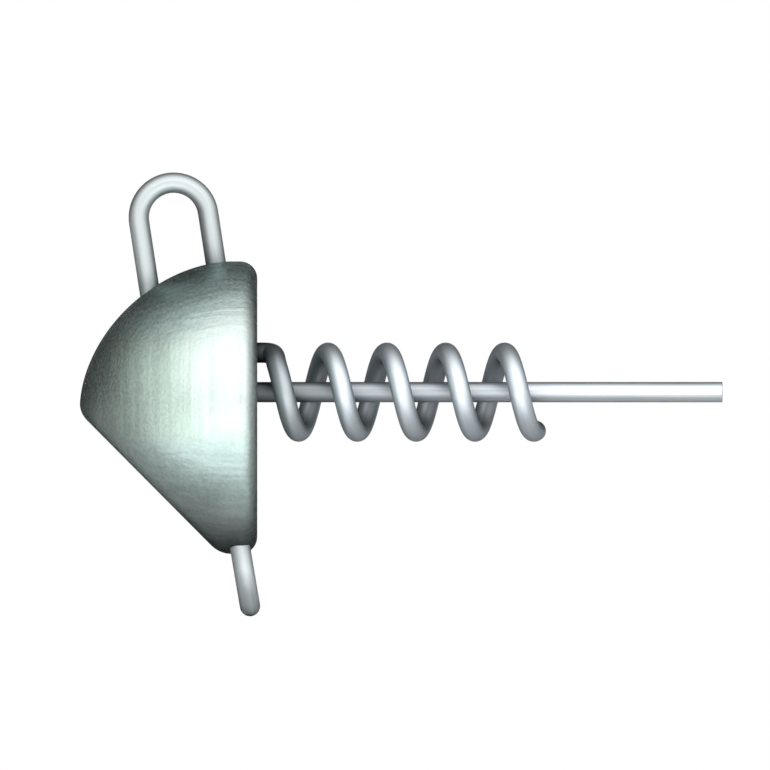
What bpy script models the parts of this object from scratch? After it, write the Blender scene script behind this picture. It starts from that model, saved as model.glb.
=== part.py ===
"""Screw-in jig head for soft fishing lures: a lead head cast round four bent wires.

The rear face of the head is the plane X = 0, and its centre is the origin. +X runs
from that face along the screw and the pin, towards the lure's tail. +Z is up, on the
side of the line-tie eye. Sizes are in metres.
"""

import math

import bmesh
import bpy
from mathutils import Matrix, Vector
from mathutils.geometry import interpolate_bezier

MM = 0.001

# Head: a turned dome with a round flat rear face and one slanted flat, the chin
HEAD_RADIUS = 10.75 * MM
HEAD_LENGTH = 13.05 * MM
REAR_BAND = 1.92 * MM  # from the rear face to the widest ring
DOME_FULLNESS = 1.82  # exponent of the dome's outline, where 2 is an ellipse
REAR_EDGE_RADIUS = 1.25 * MM
CHIN_ANGLE = math.radians(44.8)  # between the chin flat and the rear face
CHIN_DEPTH = 9.54 * MM  # from the centre of the rear face, square to the flat
CHIN_BLEND = 0.6 * MM  # the chin's edge is rounded this far above and below the flat

# Line-tie eye: an upright loop on top, in the plane Y = 0
LINE_TIE_WIRE = 1.5 * MM
LINE_TIE_BEND = 2.56 * MM  # radius of the loop, at the middle of the wire
LINE_TIE_SETBACK = 6.15 * MM  # from the rear face to the centre of the bend
LINE_TIE_STAND = 3.23 * MM  # from the top of the head to the centre of the bend
LINE_TIE_TILT = math.radians(8.7)  # the loop leans towards the nose

# Belly eye: a loop across the head, underneath
BELLY_EYE_WIRE = 1.5 * MM
BELLY_EYE_BEND = 2.8 * MM
BELLY_EYE_SETBACK = 1.0 * MM  # from the rear face to the centre of the bend
BELLY_EYE_STAND = 1.08 * MM  # from the bottom of the dome to the centre of the bend
BELLY_EYE_TILT = math.radians(9.6)  # the loop leans away from the nose
BELLY_EYE_DEPTH = 5.5 * MM  # of its straight legs, in the lead

# Screw: an open coil round the pin
COIL_WIRE = 1.5 * MM
COIL_DIAMETER = 7.3 * MM  # outside
COIL_PITCH = 4.325 * MM
COIL_TURNS = 4.54
COIL_START = 0.875 * MM  # from the rear face to where the first turn is at its top
COIL_STUB = 0.35 * MM  # straight wire behind the rear face
COIL_DEPTH = 3.2 * MM  # straight wire in the lead
COIL_LEAD_IN = math.radians(50.0)  # turn taken to bend from the stub into the coil
LEAD_IN_PULL = 0.42  # how stiffly that bend leaves its two ends, as a share of its length

# Centring pin
PIN_DIAMETER = 1.5 * MM
PIN_HEIGHT = 1.14 * MM  # above the axis of the dome
PIN_REACH = 34.2 * MM  # behind the rear face
PIN_DEPTH = 6.0 * MM

# What holds the wires in the lead
FOOT_LENGTH = 2.6 * MM  # each wire's end is bent aside by this much
FOOT_BEND = 1.4 * MM  # radius of that bend, at the middle of the wire
LEAD_BETWEEN = 0.9 * MM  # lead left between two crossing wires
CAST_CLEARANCE = 0.25 * MM  # all round each wire in its hole

# How finely the round shapes are faceted
HEAD_SEGMENTS = 57  # odd, so that no facet edge runs through the middle of the rear face
DOME_STEPS = 20
EDGE_STEPS = 5
BEND_STEPS = 5  # for each right angle
LEAD_IN_POINTS = 8
POINTS_PER_TURN = 24
COIL_BEVEL_RESOLUTION = 1
WIRE_BEVEL_RESOLUTION = 3
SHARP_ANGLE = math.radians(40.0)  # edges with a smaller bend are shaded smooth
SLIVER = 0.02 * MM  # points nearer than this are merged after a cut
SEAM = 0.005 * MM  # points nearer than this are the same point of one seam

# Metals, as they look
LEAD_COLOUR = (0.52, 0.61, 0.57, 1.0)
LEAD_ROUGHNESS = 0.42
WIRE_COLOUR = (0.62, 0.66, 0.70, 1.0)
WIRE_ROUGHNESS = 0.28


def clear_scene():
    for leftover in list(bpy.data.objects):
        bpy.data.objects.remove(leftover, do_unlink=True)


def new_collection(name):
    collection = bpy.data.collections.new(name)
    bpy.context.scene.collection.children.link(collection)
    return collection


def metal(name, colour, roughness):
    material = bpy.data.materials.new(name)
    material.use_nodes = True
    shader = material.node_tree.nodes["Principled BSDF"]
    shader.inputs["Base Color"].default_value = colour
    shader.inputs["Roughness"].default_value = roughness
    shader.inputs["Metallic"].default_value = 1.0
    return material


def evaluated_mesh(source):
    """The mesh of an object as its modifiers or its bevel leave it, with seams welded."""
    bpy.context.view_layer.update()
    graph = bpy.context.evaluated_depsgraph_get()
    mesh = bpy.data.meshes.new_from_object(source.evaluated_get(graph))
    shape = bmesh.new()
    shape.from_mesh(mesh)
    bmesh.ops.remove_doubles(shape, verts=shape.verts, dist=SEAM)
    bmesh.ops.recalc_face_normals(shape, faces=shape.faces)
    shape.to_mesh(mesh)
    shape.free()
    return mesh


def rounded_route(corners, radii):
    """Points along straight runs between corners, with an arc of each radius at each bend."""
    route = [corners[0]]
    for before, corner, after, radius in zip(corners, corners[1:], corners[2:], radii):
        towards = (before - corner).normalized()
        away = (after - corner).normalized()
        half_angle = towards.angle(away) / 2
        centre = corner + (towards + away).normalized() * radius / math.sin(half_angle)
        first = corner + towards * radius / math.tan(half_angle) - centre
        turned = math.pi - 2 * half_angle
        steps = max(2, round(BEND_STEPS * turned / (math.pi / 2)))
        axis = away.cross(towards)
        for step in range(steps + 1):
            turn = Matrix.Rotation(turned * step / steps, 3, axis)
            point = centre + turn @ first
            if (point - route[-1]).length > SLIVER:
                route.append(point)
    route.append(corners[-1])
    return route


def wire_curve(name, points, diameter, resolution):
    """A round wire along the points, closed at both ends."""
    curve = bpy.data.curves.new(name, "CURVE")
    curve.dimensions = "3D"
    curve.bevel_depth = diameter / 2
    curve.bevel_resolution = resolution
    curve.use_fill_caps = True
    spline = curve.splines.new("POLY")
    spline.points.add(len(points) - 1)
    for spot, point in zip(spline.points, points):
        spot.co = (*point, 1.0)
    spline.use_smooth = True
    return bpy.data.objects.new(name, curve)


def lengthened(points, at_start, at_end):
    """The same route with its first and last runs made longer."""
    first = points[0] + (points[0] - points[1]).normalized() * at_start
    last = points[-1] + (points[-1] - points[-2]).normalized() * at_end
    return [first, *points[1:-1], last]


def cast_in_wire(name, points, diameter, resolution, material_name, place, set_in):
    """Adds a wire and the cutter of its hole in the lead.

    set_in holds the stretch of the route that the cutter follows, and how much longer
    than the wire that stretch is at each end.
    """
    wire = wire_curve(name, points, diameter, resolution)
    wire.data.materials.append(metal(material_name, WIRE_COLOUR, WIRE_ROUGHNESS))
    wire.matrix_world = place
    parts.objects.link(wire)
    wire.parent = frame

    route, at_start, at_end = set_in
    hole_diameter = diameter + 2 * CAST_CLEARANCE
    guide = wire_curve(
        name + "_guide", lengthened(route, at_start, at_end), hole_diameter, resolution
    )
    guide.matrix_world = place
    cutters.objects.link(guide)
    hole = bpy.data.objects.new(name + "_hole", evaluated_mesh(guide))
    hole.matrix_world = guide.matrix_world
    hole.hide_render = True
    hole.display_type = "WIRE"
    cutters.objects.link(hole)
    bpy.data.objects.remove(guide, do_unlink=True)
    return hole


def head_outline():
    """The turned outline from the nose to the centre of the rear face, as (radius, height)."""
    dome_length = HEAD_LENGTH - REAR_BAND
    power = 2 / DOME_FULLNESS
    outline = [(0.0, HEAD_LENGTH)]
    for step in range(1, DOME_STEPS + 1):
        angle = math.pi / 2 * step / DOME_STEPS
        radius = HEAD_RADIUS * math.sin(angle) ** power
        height = REAR_BAND + dome_length * max(0.0, math.cos(angle)) ** power
        outline.append((radius, height))
    for step in range(EDGE_STEPS + 1):
        angle = math.pi / 2 * step / EDGE_STEPS
        radius = HEAD_RADIUS - REAR_EDGE_RADIUS * (1 - math.cos(angle))
        height = REAR_EDGE_RADIUS * (1 - math.sin(angle))
        outline.append((radius, height))
    outline.append((0.0, 0.0))
    return outline


def turned_head():
    """The dome before its chin is flattened, turned about the axis that becomes X."""
    profile = bpy.data.meshes.new("head_outline")
    points = [(radius, 0.0, height) for radius, height in head_outline()]
    edges = [(step, step + 1) for step in range(len(points) - 1)]
    profile.from_pydata(points, edges, [])
    guide = bpy.data.objects.new("head_outline", profile)
    guide.rotation_euler = (0.0, -math.pi / 2, 0.0)
    cutters.objects.link(guide)
    turn = guide.modifiers.new("turn", "SCREW")
    turn.steps = HEAD_SEGMENTS
    turn.render_steps = HEAD_SEGMENTS
    turn.use_merge_vertices = True
    turn.merge_threshold = SEAM
    mesh = evaluated_mesh(guide)
    mesh.transform(guide.matrix_world)
    bpy.data.objects.remove(guide, do_unlink=True)
    return mesh


def flatten_chin(mesh):
    """Presses what lies beyond the chin plane onto it, with a rounded edge.

    A point's height over the flat becomes (height + blend)^2 / (4 blend) near the edge,
    which meets the dome and the flat without a corner. Cuts through the blend give the
    edge its own rows of points.
    """
    normal = Vector((-math.cos(CHIN_ANGLE), 0.0, -math.sin(CHIN_ANGLE)))
    shape = bmesh.new()
    shape.from_mesh(mesh)
    for share in (1.0, 1 / 3, -1 / 3, -1.0):
        bmesh.ops.bisect_plane(
            shape,
            geom=shape.verts[:] + shape.edges[:] + shape.faces[:],
            dist=SLIVER,
            plane_co=normal * (CHIN_DEPTH - CHIN_BLEND * share),
            plane_no=normal,
        )
    for spot in shape.verts:
        height = CHIN_DEPTH - spot.co.dot(normal)
        if height < -CHIN_BLEND:
            kept = 0.0
        elif height < CHIN_BLEND:
            kept = (height + CHIN_BLEND) ** 2 / (4 * CHIN_BLEND)
        else:
            kept = height
        spot.co += normal * (height - kept)
    bmesh.ops.remove_doubles(shape, verts=shape.verts, dist=SLIVER)
    bmesh.ops.recalc_face_normals(shape, faces=shape.faces)
    shape.to_mesh(mesh)
    shape.free()


def add_head(holes):
    mesh = turned_head()
    flatten_chin(mesh)
    mesh.shade_smooth()
    mesh.set_sharp_from_angle(angle=SHARP_ANGLE)
    mesh.name = "head_weight"
    mesh.materials.append(metal("cast_lead", LEAD_COLOUR, LEAD_ROUGHNESS))
    head = bpy.data.objects.new("head_weight", mesh)
    parts.objects.link(head)
    head.parent = frame
    for hole in holes:
        cut = head.modifiers.new(hole.name, "BOOLEAN")
        cut.operation = "DIFFERENCE"
        cut.solver = "EXACT"
        cut.object = hole


def add_line_tie_eye():
    """A loop whose two legs go down into the head and end in feet turned to each side."""
    top = HEAD_RADIUS + LINE_TIE_STAND
    place = Matrix.Translation((-LINE_TIE_SETBACK, 0.0, top))
    place = place @ Matrix.Rotation(-LINE_TIE_TILT, 4, "Y")
    coil_stub_height = PIN_HEIGHT + (COIL_DIAMETER - COIL_WIRE) / 2
    over_pin = PIN_HEIGHT + (PIN_DIAMETER + LINE_TIE_WIRE) / 2 + LEAD_BETWEEN
    over_coil = coil_stub_height + (COIL_WIRE + LINE_TIE_WIRE) / 2 + LEAD_BETWEEN

    def leg_end(side, height):
        start = top + side * LINE_TIE_BEND * math.sin(LINE_TIE_TILT)
        return -(start - height) / math.cos(LINE_TIE_TILT)

    front = leg_end(-1, over_pin)
    rear = leg_end(1, over_coil)
    bend = LINE_TIE_BEND
    corners = [
        Vector((-bend, -FOOT_LENGTH, front)),
        Vector((-bend, 0.0, front)),
        Vector((-bend, 0.0, bend)),
        Vector((bend, 0.0, bend)),
        Vector((bend, 0.0, rear)),
        Vector((bend, FOOT_LENGTH, rear)),
    ]
    route = rounded_route(corners, [FOOT_BEND, bend, bend, FOOT_BEND])
    return cast_in_wire(
        "line_tie_eye",
        route,
        LINE_TIE_WIRE,
        WIRE_BEVEL_RESOLUTION,
        "line_tie_wire",
        place,
        (route, CAST_CLEARANCE, CAST_CLEARANCE),
    )


def add_belly_eye():
    """A loop whose two legs go up into the head, side by side, with feet turned forward."""
    place = Matrix.Translation(
        (-BELLY_EYE_SETBACK, 0.0, -HEAD_RADIUS - BELLY_EYE_STAND)
    )
    place = place @ Matrix.Rotation(-BELLY_EYE_TILT, 4, "Y")
    bend = BELLY_EYE_BEND
    leg = BELLY_EYE_STAND + BELLY_EYE_DEPTH
    corners = [
        Vector((-FOOT_LENGTH, bend, leg)),
        Vector((0.0, bend, leg)),
        Vector((0.0, bend, -bend)),
        Vector((0.0, -bend, -bend)),
        Vector((0.0, -bend, leg)),
        Vector((-FOOT_LENGTH, -bend, leg)),
    ]
    route = rounded_route(corners, [FOOT_BEND, bend, bend, FOOT_BEND])
    return cast_in_wire(
        "belly_eye",
        route,
        BELLY_EYE_WIRE,
        WIRE_BEVEL_RESOLUTION,
        "belly_eye_wire",
        place,
        (route, CAST_CLEARANCE, CAST_CLEARANCE),
    )


def coil_point(phase):
    radius = (COIL_DIAMETER - COIL_WIRE) / 2
    along = COIL_START + COIL_PITCH * phase / math.tau
    return Vector((along, -radius * math.sin(phase), radius * math.cos(phase)))


def coil_direction(phase):
    radius = (COIL_DIAMETER - COIL_WIRE) / 2
    rise = COIL_PITCH / math.tau
    return Vector((rise, -radius * math.cos(phase), -radius * math.sin(phase))).normalized()


def least_gap(points, diameter, apart):
    """The least space between stretches of a wire at least so many points apart."""
    found = math.inf
    for index, point in enumerate(points):
        for other in points[index + apart :]:
            found = min(found, (other - point).length)
    return found - diameter


def add_screw_coil():
    """A right-handed open coil. Its stub leaves the rear face square, at the coil's top."""
    radius = (COIL_DIAMETER - COIL_WIRE) / 2
    corners = [
        Vector((-COIL_DEPTH, -FOOT_LENGTH, radius)),
        Vector((-COIL_DEPTH, 0.0, radius)),
        Vector((COIL_STUB, 0.0, radius)),
    ]
    stub = rounded_route(corners, [FOOT_BEND])
    first = coil_point(COIL_LEAD_IN)
    pull = (first - stub[-1]).length * LEAD_IN_PULL
    lead_in = interpolate_bezier(
        stub[-1],
        stub[-1] + Vector((pull, 0.0, 0.0)),
        first - coil_direction(COIL_LEAD_IN) * pull,
        first,
        LEAD_IN_POINTS,
    )
    last_phase = math.tau * COIL_TURNS
    steps = round(POINTS_PER_TURN * (last_phase - COIL_LEAD_IN) / math.tau)
    step_phase = (last_phase - COIL_LEAD_IN) / steps
    turns = [coil_point(COIL_LEAD_IN + step_phase * step) for step in range(1, steps + 1)]
    wound = lead_in + turns
    gap = least_gap(wound, COIL_WIRE, POINTS_PER_TURN // 2)
    print(f"screw_coil: least gap to itself {gap / MM:.2f} mm")
    return cast_in_wire(
        "screw_coil",
        stub[:-1] + wound,
        COIL_WIRE,
        COIL_BEVEL_RESOLUTION,
        "screw_wire",
        Matrix.Translation((0.0, 0.0, PIN_HEIGHT)),
        (stub, CAST_CLEARANCE, COIL_WIRE),
    )


def add_centring_pin():
    """A straight pin on the coil's axis, with its inner end bent down in the lead."""
    corners = [
        Vector((-PIN_DEPTH, 0.0, -FOOT_LENGTH)),
        Vector((-PIN_DEPTH, 0.0, 0.0)),
        Vector((PIN_REACH, 0.0, 0.0)),
    ]
    route = rounded_route(corners, [FOOT_BEND])
    set_in = route[:-1] + [Vector((PIN_DIAMETER, 0.0, 0.0))]
    return cast_in_wire(
        "centring_pin",
        route,
        PIN_DIAMETER,
        WIRE_BEVEL_RESOLUTION,
        "pin_wire",
        Matrix.Translation((0.0, 0.0, PIN_HEIGHT)),
        (set_in, CAST_CLEARANCE, 0.0),
    )


clear_scene()
parts = new_collection("screw_in_jig_head")
cutters = new_collection("wire_holes")
frame = bpy.data.objects.new("rear_face_centre", None)
frame.empty_display_size = HEAD_RADIUS
parts.objects.link(frame)

add_head(
    [
        add_line_tie_eye(),
        add_belly_eye(),
        add_screw_coil(),
        add_centring_pin(),
    ]
)
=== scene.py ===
import math

import bmesh
import bpy
from mathutils import Matrix, Vector
from mathutils.geometry import interpolate_bezier


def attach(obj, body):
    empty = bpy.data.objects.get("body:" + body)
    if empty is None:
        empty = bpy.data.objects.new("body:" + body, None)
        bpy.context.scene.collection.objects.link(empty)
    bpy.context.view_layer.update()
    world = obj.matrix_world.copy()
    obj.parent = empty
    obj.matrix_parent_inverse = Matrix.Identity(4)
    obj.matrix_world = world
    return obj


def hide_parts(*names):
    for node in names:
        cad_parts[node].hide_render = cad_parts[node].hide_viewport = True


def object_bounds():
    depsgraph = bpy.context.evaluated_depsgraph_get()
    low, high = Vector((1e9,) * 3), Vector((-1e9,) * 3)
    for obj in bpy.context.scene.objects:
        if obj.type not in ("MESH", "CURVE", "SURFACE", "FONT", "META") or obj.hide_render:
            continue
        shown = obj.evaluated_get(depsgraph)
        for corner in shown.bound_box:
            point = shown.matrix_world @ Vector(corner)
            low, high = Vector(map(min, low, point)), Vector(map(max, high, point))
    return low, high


# Looks of a screw-in jig head: one lead casting and the four wires cast into it.
# Settings are in millimetres and degrees, and every mesh is in metres. The rear face of
# the head is the plane X = 0, the screw points to +X, and the line-tie eye is up, at +Z.

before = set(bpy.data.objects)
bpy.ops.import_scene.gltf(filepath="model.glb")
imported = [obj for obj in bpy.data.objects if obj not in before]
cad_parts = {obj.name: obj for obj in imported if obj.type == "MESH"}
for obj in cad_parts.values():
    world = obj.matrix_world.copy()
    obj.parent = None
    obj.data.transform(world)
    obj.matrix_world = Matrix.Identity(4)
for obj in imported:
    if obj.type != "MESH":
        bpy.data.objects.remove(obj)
cadBox = [list(corner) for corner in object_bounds()]
mm = 0.001
print("frame loaded:", sorted(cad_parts))


# Shader maths: an expression on these values adds the nodes for it

class Value:
    def __init__(self, graph, socket):
        self.graph = graph
        self.socket = socket

    def __add__(self, other):
        return self.graph.math("ADD", self, other)

    def __radd__(self, other):
        return self.graph.math("ADD", other, self)

    def __sub__(self, other):
        return self.graph.math("SUBTRACT", self, other)

    def __rsub__(self, other):
        return self.graph.math("SUBTRACT", other, self)

    def __mul__(self, other):
        return self.graph.math("MULTIPLY", self, other)

    def __rmul__(self, other):
        return self.graph.math("MULTIPLY", other, self)

    def output(self, name):
        return Value(self.graph, self.socket.node.outputs[name])


class Graph:
    def __init__(self, owner):
        owner.use_nodes = True
        self.tree = owner.node_tree
        self.tree.nodes.clear()

    # adds one node: its settings first, then what its inputs hold or are linked to
    def add(self, kind, settings, inputs, output=0):
        node = self.tree.nodes.new(kind)
        for name, value in settings.items():
            setattr(node, name, value)
        for name, value in inputs.items():
            if isinstance(value, Value):
                self.tree.links.new(value.socket, node.inputs[name])
            else:
                node.inputs[name].default_value = value
        return Value(self, node.outputs[output]) if node.outputs else None

    def math(self, operation, first, second):
        return self.add("ShaderNodeMath", {"operation": operation}, {0: first, 1: second})

    def vector(self, operation, first, second, output=0):
        return self.add(
            "ShaderNodeVectorMath", {"operation": operation}, {0: first, 1: second}, output
        )

    def mixed(self, factor, first, second):
        return self.add(
            "ShaderNodeMix", {"data_type": "RGBA"}, {0: factor, 6: first, 7: second}, 2
        )

    # a colour made darker or lighter
    def toned(self, colour, tone):
        return self.add(
            "ShaderNodeVectorMath", {"operation": "SCALE"}, {0: colour, "Scale": tone}
        )

    # distance from a point, along the axes that the shape names
    def distance(self, spot, middle, shape):
        offset = self.vector("SUBTRACT", spot, [place * mm for place in middle])
        return self.add(
            "ShaderNodeVectorMath",
            {"operation": "LENGTH"},
            {0: self.vector("MULTIPLY", offset, shape)},
            "Value",
        )

    # noise of a given size, from 0 to 1, stretched by a factor along each axis
    def grain(self, spot, size, detail, stretch=(1, 1, 1)):
        factors = [1 / (size * mm * longer) for longer in stretch]
        return self.add(
            "ShaderNodeTexNoise",
            {"noise_dimensions": "3D", "normalize": True},
            {"Vector": self.vector("MULTIPLY", spot, factors), "Scale": 1.0, "Detail": detail},
        )

    # 0 up to the first limit, 1 past the second, and smooth between them
    def ramped(self, value, limits):
        return self.add(
            "ShaderNodeMapRange",
            {"interpolation_type": "SMOOTHSTEP"},
            {"Value": value, "From Min": limits[0], "From Max": limits[1]},
        )

    # the same between two places
    def between(self, value, places):
        return self.ramped(value, [place * mm for place in places])

    def bumped(self, height, depth):
        return self.add(
            "ShaderNodeBump",
            {},
            {"Height": height, "Distance": depth * mm, "Strength": 1.0},
        )

    def metal(self, colour, roughness, edge, normal):
        surface = self.add(
            "ShaderNodeBsdfPrincipled",
            {"distribution": "GGX"},
            {
                "Base Color": colour,
                "Metallic": 1.0,
                "Roughness": roughness,
                "Specular Tint": edge,
                "Normal": normal,
            },
        )
        self.add("ShaderNodeOutputMaterial", {}, {"Surface": surface})


# Camera: level and square to the side, without perspective

camera = {"away": 500.0, "width": 56.6, "centreX": 9.39, "centreZ": 1.665, "clipStart": 10.0}


def addCamera():
    lens = bpy.data.cameras.new("sideCamera")
    lens.type = "ORTHO"
    lens.ortho_scale = camera["width"] * mm
    lens.clip_start = camera["clipStart"] * mm
    viewer = bpy.data.objects.new("sideCamera", lens)
    viewer.location = (camera["centreX"] * mm, -camera["away"] * mm, camera["centreZ"] * mm)
    viewer.rotation_euler = (math.pi / 2, 0, 0)
    bpy.context.scene.collection.objects.link(viewer)
    bpy.context.scene.camera = viewer
    bpy.context.scene.view_settings.view_transform = "Standard"


# Studio: a pale floor under a dome of soft light that is brightest in front of the side
# that is photographed, with a white backdrop at the horizon

studio = {
    "floorHalf": 4000.0,
    "floorColour": (0.55, 0.55, 0.55, 1),
    "floorRoughness": 0.9,
    # glows of the dome: degrees to the right of the camera and above the horizon, and
    # the cosines of the angles from the middle where each ends and where it is full
    "glows": [
        {"aside": 0, "up": 10, "ends": 0.0, "full": 1.0, "level": 1.05},
        {"aside": 0, "up": 50, "ends": 0.5, "full": 1.0, "level": 0.38},
        {"aside": -60, "up": 50, "ends": 0.5, "full": 1.0, "level": 0.20},
        {"aside": 60, "up": 50, "ends": 0.5, "full": 1.0, "level": 0.34},
        {"aside": -60, "up": 10, "ends": 0.5, "full": 1.0, "level": 0.18},
        {"aside": 75, "up": 10, "ends": 0.5, "full": 1.0, "level": 0.40},
    ],
    "dim": 0.05,  # the rest of the dome
    "groundLevel": 0.385,  # below the horizon, as the floor looks
    "backdrop": (0.004, 0.012),  # sines of the elevations that it fills and ends at
    # light panels that lie just over the floor in front
    "panelLift": 0.1,
    "panels": [
        {"across": 0.0, "along": -100.0, "width": 160.0, "depth": 100.0, "level": 2.1},
        {"across": 0.0, "along": -34.0, "width": 110.0, "depth": 33.0, "level": 0.76},
        {"across": 3.5, "along": -11.0, "width": 14.0, "depth": 12.0, "level": 0.27},
    ],
}


def addFloor():
    slab = bmesh.new()
    bmesh.ops.create_grid(slab, x_segments=1, y_segments=1, size=studio["floorHalf"] * mm)
    bmesh.ops.translate(slab, verts=slab.verts, vec=(0, 0, cadBox[0][2]))
    mesh = bpy.data.meshes.new("floor")
    slab.to_mesh(mesh)
    slab.free()
    floor = bpy.data.objects.new("floor", mesh)
    bpy.context.scene.collection.objects.link(floor)
    paint = bpy.data.materials.new("floorPaint")
    graph = Graph(paint)
    surface = graph.add(
        "ShaderNodeBsdfPrincipled",
        {},
        {
            "Base Color": studio["floorColour"],
            "Roughness": studio["floorRoughness"],
            "Specular IOR Level": 0.0,
        },
    )
    graph.add("ShaderNodeOutputMaterial", {}, {"Surface": surface})
    mesh.materials.append(paint)


def addSurroundings():
    world = bpy.data.worlds.new("softRoom")
    bpy.context.scene.world = world
    graph = Graph(world)
    direction = graph.add("ShaderNodeTexCoord", {}, {}, "Generated")
    height = graph.add("ShaderNodeSeparateXYZ", {}, {0: direction}).output("Z")
    dome = studio["dim"]
    for glow in studio["glows"]:
        up = math.radians(glow["up"])
        aside = math.radians(glow["aside"])
        middle = (math.sin(aside) * math.cos(up), -math.cos(aside) * math.cos(up), math.sin(up))
        facing = graph.vector("DOT_PRODUCT", direction, middle, "Value")
        dome = dome + graph.ramped(facing, (glow["ends"], glow["full"])) * glow["level"]
    full, end = studio["backdrop"]
    aboveGround = graph.ramped(height, (-end, -full))
    room = studio["groundLevel"] + aboveGround * (dome - studio["groundLevel"])
    ray = graph.add("ShaderNodeLightPath", {}, {})
    mirrored = graph.math(
        "MAXIMUM", ray.output("Is Glossy Ray"), ray.output("Is Transmission Ray")
    )
    seen = graph.math("MAXIMUM", ray.output("Is Camera Ray"), mirrored)
    backdrop = 1 - graph.ramped(graph.math("ABSOLUTE", height, 0.0), (full, end))
    strength = room + seen * backdrop * (1 - room)
    light = graph.add("ShaderNodeBackground", {}, {"Color": (1, 1, 1, 1), "Strength": strength})
    graph.add("ShaderNodeOutputWorld", {}, {"Surface": light})


def addPanels():
    height = cadBox[0][2] + studio["panelLift"] * mm
    for number, spec in enumerate(studio["panels"]):
        lamp = bpy.data.lights.new(f"floorPanel{number}", "AREA")
        lamp.shape = "RECTANGLE"
        lamp.size = spec["width"] * mm
        lamp.size_y = spec["depth"] * mm
        lamp.energy = spec["level"] * math.pi * lamp.size * lamp.size_y
        panel = bpy.data.objects.new(f"floorPanel{number}", lamp)
        panel.location = (spec["across"] * mm, spec["along"] * mm, height)
        panel.rotation_euler = (math.pi, 0, 0)
        panel.visible_camera = False
        bpy.context.scene.collection.objects.link(panel)


# What all pieces share

sharpAngle = 35  # edges that bend more than this stay sharp


def addPiece(name, shape):
    mesh = bpy.data.meshes.new(name)
    shape.to_mesh(mesh)
    shape.free()
    mesh.shade_smooth()
    mesh.set_sharp_from_angle(angle=math.radians(sharpAngle))
    piece = bpy.data.objects.new(name, mesh)
    bpy.context.scene.collection.objects.link(piece)
    return piece


def settle(piece, node, material):
    piece.data.materials.clear()
    piece.data.materials.append(material)
    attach(piece, "root")
    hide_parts(node)


# Head: an outline spun round the X axis, then pressed flat at the chin

headSize = {
    "radius": 10.75,
    "length": 13.05,
    "rearBand": 1.92,  # length of the straight side behind the dome
    "fullness": 1.82,  # 2 is a round dome, and less is more pointed
    "rearEdge": 1.25,
    "chinAngle": 44.8,
    "chinDepth": 9.54,  # distance of the chin flat from the middle of the rear face
    "chinBlend": 0.6,
    "blendRows": 12,
    "domeSteps": 72,
    "edgeSteps": 12,
    "segments": 192,
    "mergeSpun": 0.001,
    "mergeCut": 0.004,
}


def headOutline():
    head = headSize
    domeLength = head["length"] - head["rearBand"]
    power = 2 / head["fullness"]
    outline = [(0.0, head["length"])]
    for step in range(1, head["domeSteps"] + 1):
        angle = math.pi / 2 * step / head["domeSteps"]
        radius = head["radius"] * math.sin(angle) ** power
        outline.append((radius, head["rearBand"] + domeLength * max(0.0, math.cos(angle)) ** power))
    for step in range(head["edgeSteps"] + 1):
        angle = math.pi / 2 * step / head["edgeSteps"]
        radius = head["radius"] - head["rearEdge"] * (1 - math.cos(angle))
        outline.append((radius, head["rearEdge"] * (1 - math.sin(angle))))
    outline.append((0.0, 0.0))
    return outline


def pressChin(shape):
    angle = math.radians(headSize["chinAngle"])
    down = Vector((-math.cos(angle), 0, -math.sin(angle)))
    depth = headSize["chinDepth"] * mm
    blend = headSize["chinBlend"] * mm
    rows = headSize["blendRows"]
    for row in range(rows + 1):
        bmesh.ops.bisect_plane(
            shape,
            geom=shape.verts[:] + shape.edges[:] + shape.faces[:],
            dist=headSize["mergeCut"] * mm,
            plane_co=down * (depth - blend * (1 - 2 * row / rows)),
            plane_no=down,
        )
    for spot in shape.verts:
        height = depth - spot.co.dot(down)
        if height < -blend:
            kept = 0.0
        elif height < blend:
            kept = (height + blend) ** 2 / (4 * blend)
        else:
            kept = height
        spot.co += down * (height - kept)


def addHead(holes):
    shape = bmesh.new()
    spots = [shape.verts.new((-height * mm, 0, radius * mm)) for radius, height in headOutline()]
    lines = [shape.edges.new(pair) for pair in zip(spots, spots[1:])]
    bmesh.ops.spin(
        shape, geom=spots + lines, cent=(0, 0, 0), axis=(1, 0, 0), dvec=(0, 0, 0),
        angle=math.tau, steps=headSize["segments"], use_merge=True,
    )
    bmesh.ops.remove_doubles(shape, verts=shape.verts, dist=headSize["mergeSpun"] * mm)
    pressChin(shape)
    bmesh.ops.remove_doubles(shape, verts=shape.verts, dist=headSize["mergeCut"] * mm)
    bmesh.ops.recalc_face_normals(shape, faces=shape.faces)
    head = addPiece("castHead", shape)
    for hole in holes:
        cut = head.modifiers.new(hole.name, "BOOLEAN")
        cut.operation = "DIFFERENCE"
        cut.solver = "EXACT"
        cut.object = hole
    bpy.context.view_layer.update()
    depsgraph = bpy.context.evaluated_depsgraph_get()
    mesh = bpy.data.meshes.new_from_object(head.evaluated_get(depsgraph))
    head.modifiers.clear()
    head.data = mesh
    mesh.name = "castHead"
    mesh.shade_smooth()
    mesh.set_sharp_from_angle(angle=math.radians(sharpAngle))
    for hole in holes:
        bpy.data.objects.remove(hole, do_unlink=True)
    return head


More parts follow.
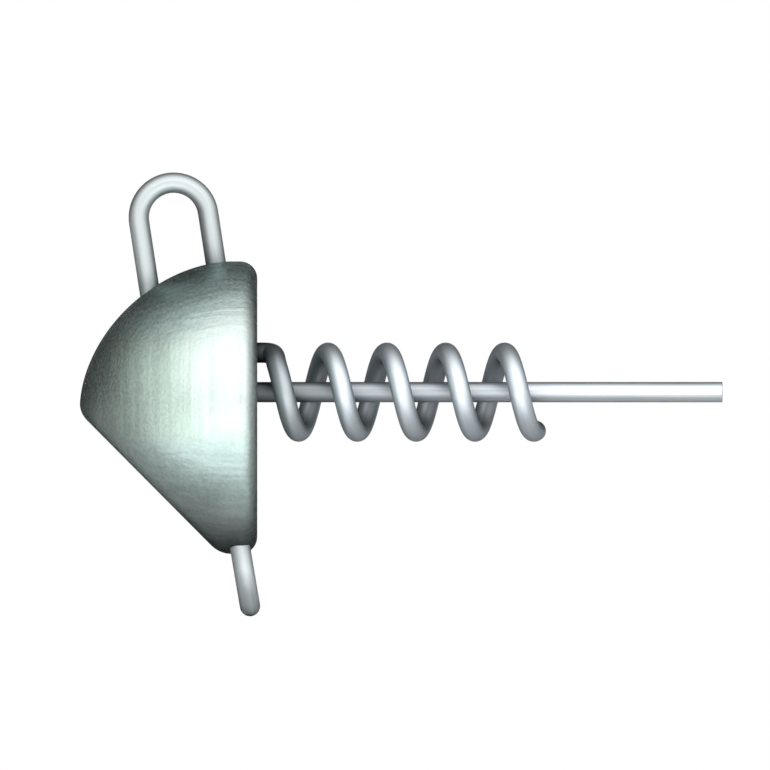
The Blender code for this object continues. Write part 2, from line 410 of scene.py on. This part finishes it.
leadLook = {
    "middle": (0.645, 0.81, 0.725, 1),  # faintly green round the middle, bluer above and below
    "outer": (0.63, 0.80, 0.77, 1),
    # colour of the painted highlight
    "paintedBright": (0.72, 0.82, 0.785, 1),
    # colour of the painted shade
    "paintedShade": (0.69, 0.785, 0.765, 1),
    "edge": (0.0, 0.0, 0.0, 1),  # what it reflects at a grazing angle
    # sizes of the patterns, and what each adds to the brightness, roughness and height
    "grain": 0.24,
    "mottle": 1.4,
    "patch": 6.0,
    "lines": 0.45,  # distance between the faint lines left by the mould's cutter
    "lineLength": 20,  # times that distance
    "grainLimits": (0.3, 0.7),
    "lineLimits": (0.35, 0.65),
    "tone": 0.74,
    "brighter": {"grain": 0.13, "lines": 0.12, "mottle": 0.18, "patch": 0.1},
    "roughness": 0.37,
    "rougher": 0.08,
    "higher": {"grain": 0.4, "lines": 0.5, "mottle": 0.5},
    "bump": 0.012,
    # the lines run round the dome at this height, and turn lengthwise over and under it
    "linesMiddle": 1.5,
    "linesTurn": (3.0, 4.8),
    # seen from the side it has a whiter painted highlight round a point near the rear, and painted
    # shade, greyer and darker, far from there: at the nose, the chin, the bottom and the rear face
    "point": (0, 0, 3.0),
    "pointShape": (0.88, 0, 1),
    "paintedHighlightEnds": (3.5, 6.0),
    "paintedShadeFrom": (7.0, 14.0),
    "rearFrom": (-1.2, -0.1),
    "rearPaintedShade": 0.7,
    "paintedShadeTone": 0.40,
    # painted shade too, darker at the top in front of the middle, and at the bottom behind it
    "shoulder": {"height": (6.5, 9.8), "along": (-2.2, -4.6), "paintedDarkening": 0.4},
    "heel": {"height": (-4.5, -7.5), "along": (-3.4, -1.2), "paintedDarkening": 0.16},
}


def castLead():
    look = leadLook
    metal = bpy.data.materials.new("castLead")
    graph = Graph(metal)
    spot = graph.add("ShaderNodeTexCoord", {}, {}, "Object")
    axes = graph.add("ShaderNodeSeparateXYZ", {}, {0: spot})
    along = axes.output("X")
    height = axes.output("Z")

    # patterns
    length = look["lineLength"]
    grain = graph.ramped(graph.grain(spot, look["grain"], 2), look["grainLimits"])
    mottle = graph.grain(spot, look["mottle"], 2)
    patch = graph.grain(spot, look["patch"], 1)
    rings = graph.grain(spot, look["lines"], 1, (1, length, length))
    rings = graph.ramped(rings, look["lineLimits"])
    draws = graph.grain(spot, look["lines"], 1, (length, 1, 1))
    draws = graph.ramped(draws, look["lineLimits"])
    fromMiddle = graph.math("ABSOLUTE", height - look["linesMiddle"] * mm, 0.0)
    lengthwise = graph.between(fromMiddle, look["linesTurn"])
    lines = rings + lengthwise * (draws - rings)

    # where the painted highlight and the painted shade fall
    away = graph.distance(spot, look["point"], look["pointShape"])
    # painted highlight: whiter round a point near the rear
    pastPaintedHighlight = graph.between(away, look["paintedHighlightEnds"])
    rear = graph.between(along, look["rearFrom"]) * look["rearPaintedShade"]
    paintedShade = graph.math("MAXIMUM", graph.between(away, look["paintedShadeFrom"]), rear)
    bright = 1 - paintedShade * (1 - look["paintedShadeTone"])
    # painted shade at the shoulder and at the heel
    for spec in (look["shoulder"], look["heel"]):
        reached = graph.between(height, spec["height"]) * graph.between(along, spec["along"])
        bright = bright * (1 - reached * spec["paintedDarkening"])

    brighter = look["brighter"]
    tone = look["tone"] + (
        grain * brighter["grain"] + lines * brighter["lines"]
        + mottle * brighter["mottle"] + patch * brighter["patch"]
    )
    higher = look["higher"]
    relief = grain * higher["grain"] + lines * higher["lines"] + mottle * higher["mottle"]
    shade = graph.mixed(lengthwise, look["middle"], look["outer"])
    shade = graph.mixed(pastPaintedHighlight, look["paintedBright"], shade)
    shade = graph.mixed(paintedShade, shade, look["paintedShade"])
    graph.metal(
        graph.toned(shade, tone * bright),
        look["roughness"] + grain * look["rougher"],
        look["edge"],
        graph.bumped(relief, look["bump"]),
    )
    return metal


# Wires: a ring is drawn out along a route, and keeps where it would be on a straight wire.
# All of them end in a bent foot inside the lead.

wireShape = {
    "footLength": 2.6,
    "footBend": 1.4,
    "sides": 40,
    "bendSteps": 14,  # for a right angle
    "leastStep": 0.001,  # points nearer to each other than this are one
    "endBevel": 0.07,
    "endSteps": 3,
    "holeGap": 0.03,  # room round a wire in the lead
    "holeFrom": 0.5,  # where a hole stops following its route
    "holePast": 1.5,  # how far past that, or past the rear face, it goes on straight
}


def roundedRoute(corners, radii):
    route = [corners[0]]
    for before, corner, after, radius in zip(corners, corners[1:], corners[2:], radii):
        towards = (before - corner).normalized()
        away = (after - corner).normalized()
        halfAngle = towards.angle(away) / 2
        centre = corner + (towards + away).normalized() * radius / math.sin(halfAngle)
        first = corner + towards * radius / math.tan(halfAngle) - centre
        turned = math.pi - 2 * halfAngle
        steps = round(wireShape["bendSteps"] * turned / (math.pi / 2))
        axis = away.cross(towards)
        for step in range(steps + 1):
            point = centre + Matrix.Rotation(turned * step / steps, 3, axis) @ first
            if (point - route[-1]).length > wireShape["leastStep"]:
                route.append(point)
    route.append(corners[-1])
    return route


def placed(route, place):
    return [place @ point for point in route]


def loopRadii(wire):
    return [wireShape["footBend"], wire["bend"], wire["bend"], wireShape["footBend"]]


# Each wire also says its colour, how strong the lines along it are, and how much darker it is
# painted where it leaves the casting, as painted shade, over what length.

lineTieEye = {
    "node": "line_tie_eye",
    "slot": "line_tie_wire",
    "gauge": 1.5,
    "bend": 2.56,
    "setback": 6.15,
    "stand": 3.23,
    "tilt": 8.7,
    "frontFoot": 3.54,  # heights of the two feet over the dome's axis
    "rearFoot": 6.44,
    "colour": (0.63, 0.685, 0.695),
    "castingShade": 0.4,
    "castingShadeOver": 1.2,
    "lines": 0.08,
    "legPaintedShade": 0.5,  # painted shade: how much darker its rear leg is on the side of its front leg
    "legFrom": (15.5, 20.5),  # lengths along the wire where the rear leg starts
    "legSide": (-0.25, 0.55),
}


def lineTieRoute():
    wire = lineTieEye
    top = headSize["radius"] + wire["stand"]
    tilt = math.radians(wire["tilt"])
    bend = wire["bend"]
    foot = wireShape["footLength"]

    def legEnd(side, height):
        return -(top + side * bend * math.sin(tilt) - height) / math.cos(tilt)

    front = legEnd(-1, wire["frontFoot"])
    rear = legEnd(1, wire["rearFoot"])
    corners = [
        Vector((-bend, -foot, front)),
        Vector((-bend, 0, front)),
        Vector((-bend, 0, bend)),
        Vector((bend, 0, bend)),
        Vector((bend, 0, rear)),
        Vector((bend, foot, rear)),
    ]
    place = Matrix.Translation((-wire["setback"], 0, top)) @ Matrix.Rotation(-tilt, 4, "Y")
    return placed(roundedRoute(corners, loopRadii(wire)), place)


bellyEye = {
    "node": "belly_eye",
    "slot": "belly_eye_wire",
    "gauge": 1.5,
    "bend": 2.8,
    "setback": 1.0,
    "stand": 1.08,
    "tilt": 9.6,
    "depth": 5.5,
    "colour": (0.89, 0.975, 1.0),
    "castingShade": 0.3,
    "castingShadeOver": 1.6,
    "lines": 0.12,
}


def bellyRoute():
    wire = bellyEye
    bend = wire["bend"]
    leg = wire["stand"] + wire["depth"]
    foot = wireShape["footLength"]
    corners = [
        Vector((-foot, bend, leg)),
        Vector((0, bend, leg)),
        Vector((0, bend, -bend)),
        Vector((0, -bend, -bend)),
        Vector((0, -bend, leg)),
        Vector((-foot, -bend, leg)),
    ]
    place = Matrix.Translation((-wire["setback"], 0, -headSize["radius"] - wire["stand"]))
    place = place @ Matrix.Rotation(-math.radians(wire["tilt"]), 4, "Y")
    return placed(roundedRoute(corners, loopRadii(wire)), place)


screwCoil = {
    "node": "screw_coil",
    "slot": "screw_wire",
    "gauge": 1.5,
    "across": 7.3,
    "pitch": 4.325,
    "turns": 4.54,
    "start": 0.875,
    "stub": 0.35,
    "depth": 3.2,
    "leadIn": 50.0,
    "leadInPull": 0.42,
    "leadInSteps": 24,
    "stepsPerTurn": 96,
    "axisHeight": 1.14,
    "colour": (0.81, 0.89, 0.945),
    "castingShade": 0.93,
    "castingShadeOver": 1.85,
    "lines": 0.06,
    "boreShadeTone": 0.5,  # brightness of its inner side, darkened as painted shade
    "boreEnds": (2.3, 3.0),  # distances from its axis
}


def coilRoute():
    wire = screwCoil
    radius = (wire["across"] - wire["gauge"]) / 2
    rise = wire["pitch"] / math.tau

    def point(phase):
        along = wire["start"] + rise * phase
        return Vector((along, -radius * math.sin(phase), radius * math.cos(phase)))

    corners = [
        Vector((-wire["depth"], -wireShape["footLength"], radius)),
        Vector((-wire["depth"], 0, radius)),
        Vector((wire["stub"], 0, radius)),
    ]
    stub = roundedRoute(corners, [wireShape["footBend"]])
    phase = math.radians(wire["leadIn"])
    first = point(phase)
    heading = Vector((rise, -radius * math.cos(phase), -radius * math.sin(phase))).normalized()
    pull = (first - stub[-1]).length * wire["leadInPull"]
    leadIn = interpolate_bezier(
        stub[-1], stub[-1] + Vector((pull, 0, 0)), first - heading * pull, first,
        wire["leadInSteps"],
    )
    last = math.tau * wire["turns"]
    steps = round(wire["stepsPerTurn"] * (last - phase) / math.tau)
    turns = [point(phase + (last - phase) * step / steps) for step in range(1, steps + 1)]
    return placed(stub[:-1] + leadIn + turns, Matrix.Translation((0, 0, wire["axisHeight"])))


centringPin = {
    "node": "centring_pin",
    "slot": "pin_wire",
    "gauge": 1.5,
    "reach": 34.2,
    "depth": 6.0,
    "axisHeight": 1.14,
    "colour": (0.87, 0.945, 1.0),
    "lines": 0.2,
    "castShadeTone": 0.21,  # painted shade: brightness at the casting and inside the coil
    "coilShadeTone": 0.61,
    "castEnds": (-1.5, 11.0),
    "freeFrom": (14.5, 25.0),
}


def pinRoute():
    wire = centringPin
    corners = [
        Vector((-wire["depth"], 0, -wireShape["footLength"])),
        Vector((-wire["depth"], 0, 0)),
        Vector((wire["reach"], 0, 0)),
    ]
    route = roundedRoute(corners, [wireShape["footBend"]])
    return placed(route, Matrix.Translation((0, 0, wire["axisHeight"])))


# a wire that leaves through the rear face has its hole end straight, just behind that face
def holeRoute(route):
    inside = [point for point in route if point.x < wireShape["holeFrom"]]
    if len(inside) < len(route):
        last = inside[-1]
        inside.append(Vector((max(last.x, 0) + wireShape["holePast"], last.y, last.z)))
    return inside


# how far a point is outside the casting, behind its rear face or out from its dome
def outOfCast(point):
    head = headSize
    share = max(0.0, -point.x - head["rearBand"]) / (head["length"] - head["rearBand"])
    surface = head["radius"] * max(0.0, 1 - share ** head["fullness"]) ** (1 / head["fullness"])
    return max(point.x, math.hypot(point.y, point.z) - surface)


# draws a ring along the route; the layer straight holds each point of the unbent wire,
# and the layer bare how far outside the casting the wire is there
def drawnWire(route, radius, endBevel):
    wire = bmesh.new()
    straight = wire.verts.layers.float_vector.new("straight")
    bare = wire.verts.layers.float.new("bare")
    ring = bmesh.ops.create_circle(
        wire, cap_ends=False, segments=wireShape["sides"], radius=radius * mm
    )["verts"]
    for spot in ring:
        spot[straight] = (0, spot.co.x, spot.co.y)
        spot[bare] = outOfCast(route[0]) * mm
    headings = [(after - before).normalized() for before, after in zip(route, route[1:])]
    tangents = [headings[0]]
    tangents += [(a + b).normalized() for a, b in zip(headings, headings[1:])]
    tangents.append(headings[-1])
    turn = Vector((0, 0, 1)).rotation_difference(tangents[0])
    bmesh.ops.rotate(wire, cent=(0, 0, 0), matrix=turn.to_matrix(), verts=ring)
    bmesh.ops.translate(wire, vec=route[0] * mm, verts=ring)
    edges = wire.edges[:]
    along = 0.0
    for index in range(1, len(route)):
        along += (route[index] - route[index - 1]).length
        made = bmesh.ops.extrude_edge_only(wire, edges=edges)["geom"]
        ring = [part for part in made if isinstance(part, bmesh.types.BMVert)]
        members = set(ring)
        edges = [
            part for part in made
            if isinstance(part, bmesh.types.BMEdge) and members.issuperset(part.verts)
        ]
        bmesh.ops.translate(wire, vec=(route[index] - route[index - 1]) * mm, verts=ring)
        turn = tangents[index - 1].rotation_difference(tangents[index])
        bmesh.ops.rotate(wire, cent=route[index] * mm, matrix=turn.to_matrix(), verts=ring)
        for spot in ring:
            spot[straight] = (along * mm, spot[straight].y, spot[straight].z)
            spot[bare] = outOfCast(route[index]) * mm
    rims = [edge for edge in wire.edges if edge.is_boundary]
    bmesh.ops.holes_fill(wire, edges=rims, sides=0)
    if endBevel:
        bmesh.ops.bevel(
            wire, geom=rims, offset=endBevel * mm, segments=wireShape["endSteps"],
            affect="EDGES", profile=0.5, material=-1,
        )
    bmesh.ops.recalc_face_normals(wire, faces=wire.faces)
    return wire


steelLook = {
    "edge": (0.02, 0.02, 0.02, 1),
    # sizes of the lines and the haze, how long they are along the wire, and what they add
    "lines": 0.13,
    "linesStretch": (120, 1, 1),
    "lineLimits": (0.3, 0.7),
    "haze": 0.9,
    "hazeStretch": (3, 1, 1),
    "tone": 0.93,
    "brighter": 0.14,
    "roughness": 0.42,
    "rougher": 0.1,
    "bump": 0.002,
}


def drawnSteel(name, wire):
    look = steelLook
    metal = bpy.data.materials.new(name + "Steel")
    graph = Graph(metal)
    spot = graph.add("ShaderNodeAttribute", {"attribute_name": "straight"}, {}, "Vector")
    bare = graph.add("ShaderNodeAttribute", {"attribute_name": "bare"}, {}, "Fac")
    lines = graph.ramped(
        graph.grain(spot, look["lines"], 2, look["linesStretch"]), look["lineLimits"]
    )
    haze = graph.grain(spot, look["haze"], 2, look["hazeStretch"])
    tone = look["tone"] - wire["lines"] / 2 + (lines * wire["lines"] + haze * look["brighter"])
    # painted shade where the wire leaves the casting
    if "castingShade" in wire:
        reaches = graph.math("MAXIMUM", bare, 0.0) * (1 / (wire["castingShadeOver"] * mm))
        castingShadeFalloff = graph.math("POWER", math.e, reaches * reaches * -1)
        tone = tone * (1 - wire["castingShade"] * castingShadeFalloff)
    # painted shade on the pin at the casting and inside the coil
    if "castShadeTone" in wire:
        level = graph.between(bare, wire["castEnds"]) * (wire["coilShadeTone"] - wire["castShadeTone"])
        level = level + graph.between(bare, wire["freeFrom"]) * (1 - wire["coilShadeTone"])
        tone = tone * (level + wire["castShadeTone"])
    # painted shade on the rear leg, on the side facing its front leg
    if "legPaintedShade" in wire:
        unbent = graph.add("ShaderNodeSeparateXYZ", {}, {0: spot})
        leg = graph.between(unbent.output("X"), wire["legFrom"])
        side = graph.between(unbent.output("Y"), wire["legSide"])
        tone = tone * (1 - leg * side * wire["legPaintedShade"])
    # painted shade on the inner side of the coil, paintedBright being its brighter outer side
    if "boreShadeTone" in wire:
        place = graph.add("ShaderNodeTexCoord", {}, {}, "Object")
        fromAxis = graph.distance(place, (0, 0, wire["axisHeight"]), (0, 1, 1))
        paintedBright = graph.between(fromAxis, wire["boreEnds"])
        tone = tone * (wire["boreShadeTone"] + paintedBright * (1 - wire["boreShadeTone"]))
    graph.metal(
        graph.toned(wire["colour"], tone),
        look["roughness"] + haze * look["rougher"],
        look["edge"],
        graph.bumped(lines, look["bump"]),
    )
    return metal


# Making

addCamera()
addSurroundings()
addPanels()
addFloor()
print("studio made")

wires = {
    "lineTieEye": (lineTieEye, lineTieRoute()),
    "bellyEye": (bellyEye, bellyRoute()),
    "screwCoil": (screwCoil, coilRoute()),
    "centringPin": (centringPin, pinRoute()),
}
holes = []
for name, (wire, route) in wires.items():
    radius = wire["gauge"] / 2
    piece = addPiece(name, drawnWire(route, radius, wireShape["endBevel"]))
    settle(piece, wire["node"], drawnSteel(name, wire))
    cutter = drawnWire(holeRoute(route), radius + wireShape["holeGap"], 0)
    holes.append(addPiece(name + "Hole", cutter))
    print("wire drawn:", name)

head = addHead(holes)
settle(head, "head_weight", castLead())
print("head cast:", len(head.data.polygons), "faces")
